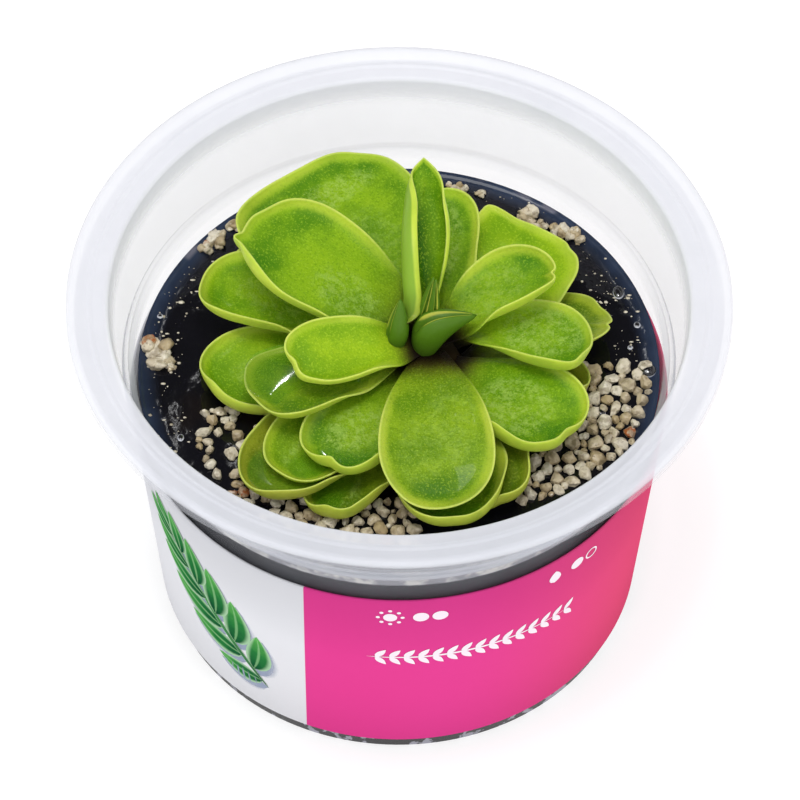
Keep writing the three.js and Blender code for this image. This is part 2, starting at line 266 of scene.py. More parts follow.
def cupPaint():
    paint = Paint("frosted_plastic")
    across, deep, height = paint.spot()
    radius = (across * across + deep * deep) ** 0.5
    cloud = paint.noise(90, 3, 0.6)
    # nearly clear up to the flange and in the rim's skirt, milky at the shoulder, most of all on the thick rim
    alpha = (cloud - 0.5) * 0.06 + frost["wall"]
    for reach, veil in (frost["upper"], frost["flange"]):
        alpha = alpha + paint.ramp(height, *reach) * veil
    skirt = paint.ramp(radius, *frost["skirtRadius"]) * paint.ramp(height, *frost["skirtHeight"])
    front = paint.ramp(deep, 20, -10) * (1 - frost["shoulderBehind"]) + frost["shoulderBehind"]
    shoulder = paint.ramp(height, *frost["shoulderLow"]) * paint.ramp(height, *frost["shoulderHigh"]) * front
    # perlite dust clings to the wall in front, from the gel up to the shoulder
    dust = paint.ramp(paint.noise(240, 3, 0.6), 0.42, 0.6)
    dusty = paint.ramp(height, *frost["dustLow"]) * paint.ramp(height, *frost["dustHigh"])
    dusty = dusty * paint.ramp(deep, *frost["dustFront"])
    alpha = alpha - skirt * frost["skirt"] + shoulder * frost["shoulder"] + dusty * (0.34 + dust * 0.3)
    colour = paint.mix(cloud, "#dcdde3", "#e8e8ed")
    # painted shade: the plastic a little darker and bluer towards the front
    colour = paint.mix(paint.ramp(deep, -14, -42) * 0.6, colour, "#d9dbe1")
    # painted shade below the rim, where the flange overhangs the inner wall, more in front
    colour = paint.mix(paint.ramp(height, 60, 56) * (0.5 + paint.ramp(deep, 12, -20) * 0.2), colour, "#a9acb6")
    colour = paint.mix(dusty * 0.8, colour, paint.mix(dust, "#c9cad2", "#dedcd8"))
    # the gel darkens the clear foot below the label, apart from pale blotches
    blotch = paint.ramp(paint.noise(360, 3, 0.6), 0.51, 0.56)
    foot = paint.ramp(height, *frost["foot"])
    colour = paint.mix(foot, colour, paint.mix(blotch, "#0b0a0e", "#8f8f9b"))
    grain = paint.noise(300, 2) + paint.noise(60, 2) * 2
    # a faint painted glow, everywhere but the foot, stands in for light passing through the milky plastic
    return paint.finish(Base_Color=colour, Roughness=0.24, Alpha=alpha + foot * frost["footDark"],
                        Normal=paint.bump(grain, 0.00002), Emission_Strength=0.02, IOR=1.45, Specular_IOR_Level=0.15,
                        Emission_Color=paint.mix(foot, "#eef0f8", "#000000"))


def makeCup():
    c = cup
    rim, top = c["rimRadius"], c["height"]
    flangeTop, flangeUnder = top - c["flangeTop"], top - c["flangeUnder"]
    shoulder, step = c["shoulderHeight"], c["shoulderHeight"] - c["shoulderStep"]
    floor, edge, wall = c["foot"] + c["wall"], c["edge"], c["wall"]
    foot = c["baseRadius"] - c["footRing"]
    bm = spin([
        (0, c["foot"]), (foot - edge, c["foot"]), (foot, 0), (c["baseRadius"], 0),
        (wallRadius(step), step), (c["shoulderRadius"], shoulder - edge), (c["shoulderRadius"], shoulder + edge),
        (c["shoulderRadius"] - edge, shoulder + c["shoulderStep"]), (c["flangeInner"] + edge, flangeUnder - edge),
        (c["flangeInner"] + 2 * edge, flangeUnder), (rim - c["rimWidth"], flangeUnder),
        (rim - c["rimWidth"] + edge / 2, top - c["rimDrop"]), (rim - edge / 2, top - c["rimDrop"]),
        (rim, top - c["rimDrop"] + edge), (rim, top - edge), (rim - edge, top), (rim - c["rimWidth"], top),
        (c["lidRing"] + c["lidRingSize"], flangeTop + c["lidRingRise"]),
        (c["lidRing"], flangeTop + 2 * c["lidRingRise"]), (c["lidRing"] - c["lidRingSize"], flangeTop),
        (c["flangeInner"], flangeTop), (c["flangeInner"] - edge, flangeTop - edge),
        (c["shoulderRadius"] - wall - edge / 2, shoulder + edge), (wallRadius(step) - wall, shoulder - wall),
        (wallRadius(floor) - wall, floor), (0, floor),
    ], c["steps"])
    roundRings(bm, c["rounding"], 2)
    addPiece("cup_moulding", bm, cupPaint(), ["cup"])
    print("cup done")


label = {
    "low": 2.8, "high": 41.6, "gap": 0.3, "thickness": 0.35, "steps": 160, "panelEdge": -20, "panelFar": -150,
    "lean": 0.045, "print": 0.06, "meanRadius": 38,
}
# bearings in degrees from the front, heights and sizes in millimetres
marks = {
    "sun": (-1.5, 37.4, 1), "rays": 8, "rayReach": 1.75, "ray": 0.3, "sunRadius": 38.5,
    "dots": ((5, 37.4, 1.15), (9.1, 37.4, 1.15), (41.5, 37.6, 1.15)), "ring": (45.6, 37.6, 1.15, 0.8625),
    "drop": (35.5, 36.2, 2.9, 2.2, 0),
}
garland = {"from": -7, "height": 26.4, "length": 31.5, "stem": 0.45, "leaves": 15, "start": 0.7, "leaf": 2.5,
           "leafWidth": 1.15, "angles": (38, 142)}
sprig = {"bearing": -31, "foot": 9, "stem": 30, "stemWidth": 1.2, "angle": -38, "leaves": 11, "start": 0.6,
         "longest": 11.5, "shortest": 0.62, "broad": 0.5, "spread": 66, "spreadEnd": 0.55, "bend": 16,
         "shade": (1.3, -1.2, 1.05, 0.6), "endLeaf": (0.94, 8.5, 4.2, 4)}


def labelPaint():
    paint = Paint("printed_film")
    across, deep, height = paint.spot()
    bearing = across.math("ARCTAN2", across, 0 - deep) * (180 / pi)
    # the panel's edge leans a little, as a flat print does when it is bent into a cone
    leaning = bearing + (label["high"] - height) * label["lean"]
    panel = paint.ramp(leaning, label["panelEdge"] + 0.1, label["panelEdge"] - 0.1)
    panel = panel * paint.ramp(bearing, label["panelFar"] - 0.1, label["panelFar"] + 0.1)
    ink = paint.mix(paint.noise(40, 2), "#df3f8e", "#e24593")
    # paler and redder towards the right side: a painted sheen on the film
    ink = paint.mix(paint.ramp(bearing, 8, 70), ink, "#e05078")
    colour = paint.mix(panel, ink, "#e0e0e4")
    return paint.finish(Base_Color=colour, Roughness=0.5, Specular_IOR_Level=0,
                        Normal=paint.bump(paint.noise(1500, 2), 0.00001))


def inkPaint(name, codes, edge, midrib, solid=1):
    # printed leaves: shaded from foot to tip, with a paler edge and midrib
    paint = Paint(name)
    along, aside = paint.attribute("along"), paint.attribute("aside")
    body = paint.shades(along + (paint.noise(500, 3) - 0.5) * 0.5, *codes)
    body = paint.mix(paint.ramp(aside, 0.55, 0.95) * 0.9, body, edge)
    body = paint.mix(paint.ramp(aside, 0.16, 0.04) * 0.6, body, midrib)
    alpha = 1 if solid == 1 else paint.ramp(aside, 1, 0.3) * solid
    return paint.finish(Base_Color=body, Roughness=0.42, Specular_IOR_Level=0, Alpha=alpha)


def wrapped(points, bearing, height):
    # lays flat points (across, up) in millimetres on the label about a place on it
    for vert in points:
        level = height + vert.co.y
        radius = wallRadius(level) + label["gap"] + label["thickness"] + label["print"] + vert.co.z
        turn = radians(bearing) + vert.co.x / radius
        vert.co = (radius * sin(turn), -radius * cos(turn), level)


def leafMark(bm, bearing, height, length, width, angle, lift=0, rows=8, bend=0):
    # a leaf that runs out to a point from its foot and is broadest near its middle
    made = bmesh.ops.create_grid(bm, x_segments=6, y_segments=rows, size=1)["verts"]
    for vert in made:
        along = (vert.co.y + 1) / 2
        setValues(bm, vert, along=along, aside=abs(vert.co.x))
        across = vert.co.x * width / 2 * sin(pi * along) ** 0.7 * (1.15 - 0.5 * along)
        tilt = radians(angle + bend * along)
        up = along * length
        vert.co = (across * cos(tilt) + up * sin(tilt), up * cos(tilt) - across * sin(tilt), lift)
    wrapped(made, bearing, height)


def dotMark(bm, bearing, height, radius, inner=0):
    made = bmesh.ops.create_circle(bm, cap_ends=inner == 0, segments=28, radius=radius)["verts"]
    if inner:
        ring = bmesh.ops.extrude_edge_only(bm, edges=list({e for v in made for e in v.link_edges}))["geom"]
        hole = [v for v in ring if isinstance(v, bmesh.types.BMVert)]
        bmesh.ops.scale(bm, vec=(inner / radius, inner / radius, 1), verts=hole)
        made = made + hole
    for vert in made:
        setValues(bm, vert, aside=0.5)
    wrapped(made, bearing, height)


def makeMarks():
    # plain care marks: a sun and a drop, with dots beside them
    bm = meshWith("along", "aside")
    dotMark(bm, *marks["sun"])
    bearing, height = marks["sun"][:2]
    for ray in range(marks["rays"]):
        turn = ray * fullTurn / marks["rays"]
        across, up = marks["rayReach"] * cos(turn), marks["rayReach"] * sin(turn)
        dotMark(bm, bearing + degrees(across / marks["sunRadius"]), height + up, marks["ray"])
    for dot in (*marks["dots"], marks["ring"]):
        dotMark(bm, *dot)
    leafMark(bm, *marks["drop"])
    # a running garland of plain leaves on a thin stem
    g = garland
    leafMark(bm, g["from"], g["height"], g["length"], g["stem"], 90, rows=40)
    for place in range(g["leaves"]):
        along = (place + g["start"]) * g["length"] / g["leaves"]
        for angle in g["angles"]:
            leafMark(bm, g["from"] + degrees(along / label["meanRadius"]), g["height"], g["leaf"],
                     g["leafWidth"], angle)
    white = inkPaint("white_ink", ("#f4e8f0", "#f6edf3"), "#f4e8f0", "#f4e8f0")
    addPiece("label_marks", bm, white)


def makeSprig():
    # a leafy branch on the pale panel, with a soft shade under it
    leaves, shade = meshWith("along", "aside"), meshWith("along", "aside")
    s = sprig
    slope = radians(s["angle"])

    def onStem(part):
        along = part * s["stem"]
        return (s["bearing"] + degrees(along * sin(slope) / label["meanRadius"]),
                s["foot"] + along * cos(slope))

    leafMark(leaves, s["bearing"], s["foot"], s["stem"], s["stemWidth"], s["angle"], rows=30)
    for number in range(s["leaves"]):
        part = (number + s["start"]) / s["leaves"]
        side = 1 if number % 2 else -1
        bearing, up = onStem(part)
        size = s["longest"] * lerp(s["shortest"], 1, sin(pi * part ** 0.8))
        angle = s["angle"] + side * lerp(s["spread"], s["spread"] * s["spreadEnd"], part)
        aside, below, longer, broad = s["shade"]
        leafMark(shade, bearing + aside, up + below, size * longer, size * broad, angle, -0.05, 8, -side * s["bend"])
        leafMark(leaves, bearing, up, size, size * s["broad"], angle, 0.012 * number - 0.05, 10, -side * s["bend"])
    part, size, width, turned = s["endLeaf"]
    leafMark(leaves, *onStem(part), size, width, s["angle"] + turned, 0.05, 10)
    greens = inkPaint("leaf_ink", ("#12482f", "#2c7a3d", "#5fae55"), "#a9cfa6", "#8fc489")
    shadow = inkPaint("shade_ink", ("#98a3bb", "#a9b3c6"), "#b9c2d1", "#98a3bb", 0.8)
    addPiece("label_sprig_shade", shade, shadow)
    addPiece("label_sprig_leaves", leaves, greens)


def makeLabel():
    low, high, inner = label["low"], label["high"], label["gap"]
    outer = inner + label["thickness"]
    corners = [(wallRadius(height) + out, height)
               for out, height in ((inner, low), (outer, low), (outer, high), (inner, high), (inner, low))]
    addPiece("label_film", spin(corners, label["steps"]), labelPaint(), ["label"])
    makeMarks()
    makeSprig()
    print("label done")


gel = {"surface": 45, "meniscus": 0.5, "meniscusWidth": 1.2, "corner": 1.6, "rings": 26, "steps": 120,
       "wallGap": 0.12, "floorGap": 0.3, "waves": ((0.14, 0.16), (0.05, 0.5)), "calmEdge": 2}


def gelPaint():
    paint = Paint("black_gel")
    across, deep, height = paint.spot()
    radius = (across * across + deep * deep) ** 0.5
    cloud = paint.noise(120, 3, 0.6)
    body = paint.mix(cloud, "#08080b", "#14131a")
    brown = paint.ramp(paint.noise(70, 2), 0.55, 0.75)
    body = paint.mix(brown * 0.6, body, "#1e1510")
    # a painted reflection of the milky wall makes the gel's edge bluish, all round but in front
    wallReflection = paint.ramp(radius, 34.4, 37.6) * paint.ramp(deep, -24, -6) * paint.ramp(height, 43, 44.6)
    body = paint.mix(wallReflection * (0.55 + paint.ramp(cloud, 0.3, 0.7) * 0.45), body, "#313d54")
    # pale smudges on its wall side, and flecks that have sunk to the foot
    smudge = paint.ramp(paint.noise(75, 3, 0.6), 0.6, 0.66) * paint.ramp(height, 41.6, 43.4)
    body = paint.mix(smudge * paint.ramp(radius, 36.6, 37.4) * 0.5, body, "#8d8a96")
    fleck = paint.ramp(paint.noise(420, 3, 0.6), 0.6, 0.68) * paint.ramp(height, 6, 3.5)
    body = paint.mix(fleck * 0.8, body, "#8f8f92")
    wave = paint.noise(160, 2) + paint.noise(700, 2) * 0.12
    return paint.finish(Base_Color=body, Roughness=0.07 + paint.ramp(height, 44.9, 44.2) * 0.6, IOR=1.36,
                        Normal=paint.bump(wave, 0.0004, 0.35))


def makeGel():
    bottom = cup["foot"] + cup["wall"] + gel["floorGap"]
    spare = cup["wall"] + gel["wallGap"]
    surface = gel["surface"]
    edge = wallRadius(surface) - spare
    inner = [(edge * (1 - ring / gel["rings"]), surface) for ring in range(2, gel["rings"])]
    bm = spin([(0, bottom), (wallRadius(bottom) - spare - gel["corner"], bottom),
               (wallRadius(bottom + gel["corner"]) - spare, bottom + gel["corner"]),
               (edge, surface + gel["meniscus"]), (edge - gel["meniscusWidth"] * 0.35, surface + 0.16),
               (edge - gel["meniscusWidth"], surface), *inner, (0, surface)], gel["steps"])
    for vert in bm.verts:
        radius = hypot(vert.co.x, vert.co.y)
        if abs(vert.co.z - surface) < 0.01 and radius < edge - gel["calmEdge"]:
            vert.co.z += sum(height * noise.noise(vert.co * scale) for height, scale in gel["waves"])
    addPiece("gel_body", bm, gelPaint(), ["gel"])
    print("gel done")


crown = {"x": 4.5, "y": -1.5, "stemRadius": 2.6, "stemDepth": 8, "widest": 5.6, "taperFrom": 1, "taperTo": 9,
         "shoulder": 6, "domeTop": 7.4, "leafGap": 0.4, "edge": 0.6, "neckHeight": 0.4, "rings": 6, "steps": 32}
blade = {
    "thickness": 0.95, "edgeThickness": 0.34, "thickens": (0.8, 1.6), "rows": 30, "neckRows": 0.4, "rootRows": 4,
    "rootReach": 0.9, "rootLeast": 0.3, "lipColumns": 6, "bladeColumns": 7, "lipSteps": 8, "tipRoundness": 2.2,
    "slant": 0.8, "ease": 0.9, "leastRoll": 0.02, "facing": (-1, 0.8), "nearLip": 1.35, "farLip": 0.8,
    "nearCurl": 1.2, "farCurl": 0.8, "foldFull": 0.2, "hinge": 0.35, "midrib": 0.2, "hollows": (0.08, 0.5),
    "swell": 0.35, "swellScale": 0.16, "ripple": 0.3, "rippleScale": 3.1, "tornScale": 14, "tornFrom": (0.45, 0.8),
    "tipOpens": (0.75, 1), "plainFrom": (0.3, 1.2), "grooveWidth": 1.8, "grooveEnd": (1, 0.7),
    "dewFade": (0.75, 1.05),
}
# What a leaf has unless its row or its tier says otherwise. The margin is lip broad and turns up by curl degrees,
# from rollFrom along the leaf, in full at rollTo, and less again at an open tip. Neck is the foot's breadth as a part
# of the widest, at widestAt. Cup lifts the sides, lean broadens one half, bow and aside shift tip and foot sideways,
# close and fold shut the blade about its midrib. Plain takes the pale line, a painted highlight, off the margin; the
# midrib's shade value paints shade in the fold along the midrib; and pool is the depth of still water.
leafDefaults = {
    "curl": 90, "tipOpen": 0, "widestAt": 0.64, "roundness": 2.2, "rootNarrow": 0.62, "rootSag": 0, "cup": 0.5,
    "lean": 0, "bow": 0, "aside": 0, "close": 0, "fold": 0, "torn": 0, "plain": 0, "groove": 0, "pool": 0,
    "dents": (), "dew": (),
}
tiers = {
    "outer": {"neck": 0.22, "rollFrom": 0.4, "rollTo": 0.75, "lip": 3.36},
    "middle": {"neck": 0.3, "rollFrom": 0.3, "rollTo": 0.6, "lip": 3.52},
    "inner": {"neck": 0.36, "rollFrom": 0, "rollTo": 0.5, "lip": 3.52},
}


def leafRow(azimuth, reach, root, tip, width, arch, roll=0, tone=0.5, wet=0, **more):
    return {"azimuth": azimuth, "reach": reach, "root": root, "tip": tip, "width": width, "arch": arch,
            "roll": roll, "tone": tone, "wet": wet, **more}


# Azimuth, reach from the crown's axis, heights of root and tip over the gel, width, arch and roll. Tone runs
# from an old olive leaf to a young bright one, and wet says how much water lies on it. A dent pulls the edge in
# (or out, below 0): its place runs from -1 at the left neck over 0 at the tip to 1, then depth and breadth.
# Dew is a patch of fine glistening hairs, painted pale for their sheen: how far along, how far across, its half
# length, half width and strength.
leafTable = {
    "outer": [
        leafRow(-68, 29.3, 1.6, 2, 16, 10, -10, 0.2, 0.5),
        leafRow(-14, 24, 1.6, 2.4, 15, 4, 7, 0.1, 0.6),
        leafRow(18, 27.6, 2.2, 3.4, 14.5, 16, 12, 0.25, 0.3, torn=0.4, curl=40,
                dents=((0.16, 0.9, 0.035), (-0.12, 0.4, 0.05))),
        leafRow(95, 35.5, 1.6, 2.8, 12, 7, 0, 0.6),
        leafRow(144, 35.5, 1.6, 2.4, 13, 10, 0, 0.2),
        leafRow(-174.2, 34.3, 1.6, 2.7, 17.5, 4, 7, 0.85, 0.3, dew=((0.55, 1, 8, 3, 0.5),)),
        leafRow(-136.5, 36.2, 2.9, 2.7, 17, 10, 3, 0.1, 0.6, pool=0.6),
        leafRow(-118.5, 32.8, 1.2, 1, 14.5, 10, -8, 0.25, 0.6, pool=0.4, dew=((0.72, 1, 4, 3.5, 1),)),
        leafRow(55, 28.8, 3.2, 5, 20.5, 10, 0, 1, 0.1, curl=50, roundness=3, neck=0.16,
                dents=((-0.27, -1.6, 0.08), (-0.1, 0.5, 0.06), (0.2, 0.5, 0.05)), dew=((0.55, 0, 7, 6, 0.6),)),
        leafRow(-83.5, 32.4, 4.2, 3.2, 18.5, 19, 0, 0.3, 0.5, pool=0.4, dew=((0.62, 3, 7, 4, 0.8),)),
    ],
    "middle": [
        leafRow(84.3, 28.5, 4.4, 8.6, 10.5, 7, 0, 0.55, lean=0.1, dew=((0.6, 0, 8, 3, 0.9),)),
        leafRow(-135.7, 31.4, 3.9, 4.1, 14, 10, 8, 0.4, 0.5, lip=2.6, curl=62, pool=0.35,
                dew=((0.78, -1, 4, 3.5, 0.8),)),
        leafRow(-123.5, 28, 5.9, 5.25, 16.5, 16, 2, 0.45, 0.5, pool=0.2, dew=((0.62, -0.5, 6, 5.5, 1),)),
        leafRow(158.5, 35.6, 4.6, 8, 14.5, 7, 4, 0.75, 0.1, neck=0.05, widestAt=0.78, bow=-2.2,
                dew=((0.6, 0, 8, 4, 0.6),)),
        leafRow(-39.5, 26.8, 5.6, 5.6, 18.6, 16, 0, 0.5, 0.5, pool=0.15, dents=((0.1, -0.7, 0.16),),
                dew=((0.52, 0, 6, 5.5, 1),)),
        leafRow(-156, 28, 7.1, 7.8, 16, 16, -8, 0.35, 0.6, neck=0.06, widestAt=0.78, curl=62, lip=2.8, pool=0.8),
    ],
    "inner": [
        leafRow(-87.5, 29.7, 8.3, 6.6, 17, 31, 0, 0.4, 0.7, lip=2.3, curl=42,
                dew=((0.45, -2.5, 8, 4, 0.4), (0.62, 2, 6, 4, 0.3))),
        leafRow(126.6, 33.8, 5.8, 13.7, 29.5, 9, 0, 0.55, 0.1, neck=0.22, curl=50, roundness=3.5, cup=-0.5,
                dents=((0.25, 1, 0.12), (-0.26, -0.9, 0.12)), dew=((0.8, -1, 2.4, 12, 1), (0.45, 3, 7, 6, 0.5))),
        leafRow(155, 31.2, 8.2, 17.2, 20.5, 4, -2, 0.55, 0.1, lean=0.12, neck=0.46,
                dents=((-0.09, -1, 0.035), (-0.03, 0.5, 0.03), (0.03, 0.4, 0.05), (0.2, 0.7, 0.12)),
                dew=((0.36, 0, 6, 4, 0.8),)),
        leafRow(-1.5, 24.2, 7.9, 8.6, 14.6, 7, 0, 0.65, 0.2, neck=0.08, widestAt=0.7, bow=2, aside=-2.4,
                dew=((0.62, -2, 7, 5, 1),)),
        leafRow(33, 20.5, 9, 15.6, 13, 4, 0, 0.55, 0.1, neck=0.34, widestAt=0.6, bow=2.2,
                dents=((0.2, 0.8, 0.03), (0.3, -0.3, 0.08)), dew=((0.45, 0, 6, 4, 0.6),)),
        leafRow(-158.5, 23, 9.4, 13, 12.4, 25, 16, 0.9, 0.1, lip=2.8, curl=92, lean=-0.1,
                dents=((-0.2, -0.6, 0.12),)),
        leafRow(99, 22.3, 7.9, 23, 14.2, 13, -28, 0.6, 0, groove=0.9, bow=2, aside=-3.6, close=14, fold=2.2,
                neck=0.74, rootNarrow=0.1, rootSag=3, roundness=1.05, widestAt=0.45, lip=4, curl=165,
                rollFrom=0, rollTo=0.12, tipOpen=0.8, plain=1),
    ],
}


def crownRadius(height):
    part = clamp((height - crown["taperFrom"]) / (crown["taperTo"] - crown["taperFrom"]))
    return lerp(crown["widest"], crown["stemRadius"], part)


def leafFrame(leaf):
    # where the blade starts, its arch and length, and its slope at the start
    start = crownRadius(leaf["root"]) + crown["leafGap"]
    run, rise, arch = leaf["reach"] - start, leaf["tip"] - leaf["root"], radians(leaf["arch"])
    length = hypot(run, rise) * (arch / 2) / sin(arch / 2)
    return start, arch, length, atan2(rise, run) + arch / 2


def outlineAt(leaf, part):
    # half width as a part of the widest, and how far along the leaf, for a row from neck to tip
    if part <= blade["neckRows"]:
        up = part / blade["neckRows"]
        return lerp(leaf["neck"], 1, sin(up * pi / 2)), leaf["widestAt"] * up
    angle = (part - blade["neckRows"]) / (1 - blade["neckRows"]) * pi / 2
    across = max(cos(angle), 0) ** (2 / leaf["roundness"])
    return across, lerp(leaf["widestAt"], 1, sin(angle) ** (2 / blade["tipRoundness"]))


def dentAt(leaf, place, part, seed):
    # how far the edge is pulled in at a place round it
    jag = abs(noise.noise(Vector((place * blade["tornScale"], seed, 2)))) * smoothstep(part, *blade["tornFrom"])
    return leaf["torn"] * jag + sum(depth * exp(-((place - at) / breadth) ** 2)
                                    for at, depth, breadth in leaf["dents"])


def dewAt(leaf, flat, length):
    return max([strength * (1 - smoothstep(hypot((flat.y - at * length) / long, (flat.x - side) / wide),
                                           *blade["dewFade"]))
                for at, side, long, wide, strength in leaf["dew"]], default=0)


def lipPoint(distance, lip, angle):
    # how far in from the flat edge, and how high, a point of the rolled margin comes to lie
    inset, rise = lip, 0
    stride = (lip - distance) / blade["lipSteps"]
    for step in range(blade["lipSteps"]):
        along = lip - (step + 0.5) * stride
        turn = angle * (1 - along / lip) ** blade["ease"]
        inset -= stride * cos(turn)
        rise += stride * sin(turn)
    return inset, rise


def placeOnLeaf(leaf, shape, point):
    # folds, rolls and arches a point of the flat blade and carries it to the leaf's place
    start, arch, length, slope = shape
    along, across = point.y / length, abs(point.x) / (leaf["width"] / 2)
    folded = point.z + leaf["fold"] * across * clamp(along / blade["foldFull"])
    # a young leaf is shut like a book, each half turned up about the midrib
    hinge = radians(leaf["close"]) * smoothstep(across, 0, blade["hinge"])
    half = abs(point.x) * cos(hinge) - folded * sin(hinge)
    folded = abs(point.x) * sin(hinge) + folded * cos(hinge)
    level = copysign(half, point.x)
    roll = radians(leaf["roll"])
    side = level * cos(roll) - folded * sin(roll)
    up = level * sin(roll) + folded * cos(roll)
    turn, bend = slope - arch * along, length / arch
    forward = start + bend * (sin(slope) - sin(turn)) - up * sin(turn)
    height = bend * (cos(turn) - cos(slope)) + up * cos(turn)
    azimuth = radians(leaf["azimuth"])
    return Vector((crown["x"] + forward * cos(azimuth) + side * sin(azimuth),
                   crown["y"] + forward * sin(azimuth) - side * cos(azimuth),
                   gel["surface"] + leaf["root"] + height))


def leafSheet(leaf, seed):
    # the blade's middle surface: columns run from each edge in to the midrib, rows from the crown to the tip
    shape = leafFrame(leaf)
    start, length = shape[0], shape[2]
    rows, rootRows, lipColumns = blade["rows"], blade["rootRows"], blade["lipColumns"]
    half = lipColumns + blade["bladeColumns"]
    curl, azimuth = radians(leaf["curl"]), radians(leaf["azimuth"])
    bm = meshWith("rim", "reach", "tone", "wet", "dew", "groove")
    thicknesses = bm.verts.layers.deform.new()
    bmesh.ops.create_grid(bm, x_segments=2 * half, y_segments=rows + rootRows, size=1)
    for vert in bm.verts:
        column = round(vert.co.x * half)
        row = round((vert.co.y + 1) / 2 * (rows + rootRows)) - rootRows
        side = -1 if column < 0 else 1
        part = max(row, 0) / rows
        across, along = outlineAt(leaf, part)
        if row < 0:
            back = -row / rootRows
            across = leaf["neck"] * lerp(1, leaf["rootNarrow"], back)
            along = -back * max(start - blade["rootReach"], blade["rootLeast"]) / length
        homing = 1 - clamp(-along * length / start)
        edge = Vector((side * across * leaf["width"] / 2 * (1 + side * leaf["lean"]), along * length))
        inward = Vector((0, along * length * (blade["slant"] if along > 0 else 1))) - edge
        whole = max(inward.length, 1e-6)
        inward = inward / whole
        place = side * (1 - part)
        if row >= 0:
            dent = dentAt(leaf, place, part, seed)
            edge += inward * dent
            whole = max(whole - dent, 1e-6)
        # margins that face the front are broadest and turned up furthest
        facing = smoothstep(inward.x * cos(azimuth) - inward.y * sin(azimuth), *blade["facing"])
        lipHere = leaf["lip"] * lerp(blade["nearLip"], blade["farLip"], facing)
        lip = min(lipHere, whole * 2 / 3)
        step = half - abs(column)
        inner = (step - lipColumns) / blade["bladeColumns"]
        distance = lip * step / lipColumns if step <= lipColumns else lerp(lip, whole, inner)
        ripple = 1 + blade["ripple"] * noise.noise(Vector((place * blade["rippleScale"], seed * 5.7, 0.4)))
        closing = 1 - leaf["tipOpen"] * smoothstep(along, *blade["tipOpens"])
        rolled = smoothstep(along, leaf["rollFrom"], leaf["rollTo"]) * ripple * closing
        rolled = max(rolled * lerp(blade["nearCurl"], blade["farCurl"], facing), blade["leastRoll"])
        inset, rise = lipPoint(distance, lipHere, curl * rolled) if distance < lipHere else (distance, 0)
        flat = edge + inward * inset
        swell = noise.noise(Vector((*(flat * blade["swellScale"]), seed * 7.3))) * blade["swell"]
        cupped = leaf["cup"] * (flat.x / leaf["width"] * 2) ** 2
        hollow = (swell + cupped) * smoothstep(along, *blade["hollows"])
        sunk = blade["midrib"] * exp(-flat.x ** 2) * (1 - max(along, 0)) + leaf["rootSag"] * (1 - homing)
        flat.x += leaf["bow"] * max(along, 0) ** 2 + leaf["aside"] * (1 - max(along, 0)) * homing
        vert.co = placeOnLeaf(leaf, shape, Vector((flat.x, flat.y, rise + hollow - sunk)))
        midrib = exp(-(flat.x / blade["grooveWidth"]) ** 2) * smoothstep(along, *blade["grooveEnd"])
        setValues(bm, vert, reach=flat.y / length, tone=leaf["tone"], wet=leaf["wet"], groove=leaf["groove"] * midrib,
                  rim=distance / lipHere + leaf["plain"] * smoothstep(distance, *blade["plainFrom"]),
                  dew=dewAt(leaf, flat, length))
        share, least = blade["thickens"]
        thick = smoothstep(distance, 0, lipHere * share) * smoothstep(distance, 0, least)
        vert[thicknesses][0] = lerp(blade["edgeThickness"] / blade["thickness"], 1, thick)
    closeUp(bm, 0.002)
    if sum(face.normal.z * face.calc_area() for face in bm.faces) < 0:
        bmesh.ops.reverse_faces(bm, faces=bm.faces)
    return bm


pools = {"overlap": 0.12, "bulge": 0.05, "thickness": 0.1, "from": 0.4}


def waterPaint():
    paint = Paint("still_water")
    colour = paint.mix(paint.noise(200, 2), "#4e960a", "#5fa816")
    return paint.finish(Base_Color=colour, Roughness=0.03, Alpha=0.16, Coat_Weight=1, Coat_Roughness=0.02,
                        Specular_IOR_Level=1)


def addPool(name, sheet, leaf, water):
    # still water in the hollow behind a leaf's tip: the leaf's own grid laid flat at the water's level
    rim, reach, dew = (sheet.verts.layers.float[key] for key in ("rim", "reach", "dew"))
    top, overlap = blade["thickness"] / 2, pools["overlap"]
    level = min(v.co.z for v in sheet.verts if v[rim] > 1.05 and v[reach] > 0.5) + top + leaf["pool"]
    for vert in sheet.verts:
        vert[dew] *= smoothstep(vert.co.z + top - level, -0.1, 0.1)
    bm = sheet.copy()
    reach = bm.verts.layers.float["reach"]
    dry = [face for face in bm.faces
           if all(v.co.z + top > level + overlap or v[reach] < pools["from"] for v in face.verts)]
    bmesh.ops.delete(bm, geom=dry, context="FACES")
    for vert in bm.verts:
        vert.co.z = level + pools["bulge"] * smoothstep(level - vert.co.z - top, -overlap, 0.5)
    thicken(addPiece(name, bm, water), pools["thickness"], -1)


# The first rows run from an old leaf to a young one, and the others are the same on every leaf.
leafColours = {
    "body": ("#8f9227", "#86ad14", "#9bbd16"), "deep": ("#56640a", "#367303", "#6c9a0a"),
    "pale": ("#a5a740", "#a0c22e", "#b2cf2e"), "margin": ("#a3a836", "#b9cc3c", "#c8d94a"),
    "band": ("#a8a93c", "#bdd242", "#cbdc4e"), "back": ("#446a0c", "#7aa02c", "#a6c640"),
    # painted shade for the midrib's fold, a painted highlight for the margin's very edge, and a painted pale sheen
    # where dew lies
    "groove": "#275f02", "rim": "#d4e072", "dew": "#a9c75c",
    # how far along each darker colour of the foot begins and is full, and how strong it is; towards the crown this is
    # partly the foot's own olive and brown and partly painted shade
    "foot": (("#5f6c18", 0.34, 0.04, 0.55), ("#352411", 0.19, 0.03, 0.9), ("#140b07", 0.1, -0.02, 1)),
    "underFootTintAndShade": (("#3a5410", 0.3, 0, 0.75), ("#1d0f0d", 0.04, -0.08, 1)),
}
leafSkin = {"Subsurface_Weight": 0.15, "Subsurface_Radius": (0.6, 1, 0.2), "Subsurface_Scale": 0.0015}


def shadeFoot(paint, body, reach, colours):
    for code, start, full, strength in colours:
        body = paint.mix(paint.ramp(reach, start, full) * strength, body, code)
    return body


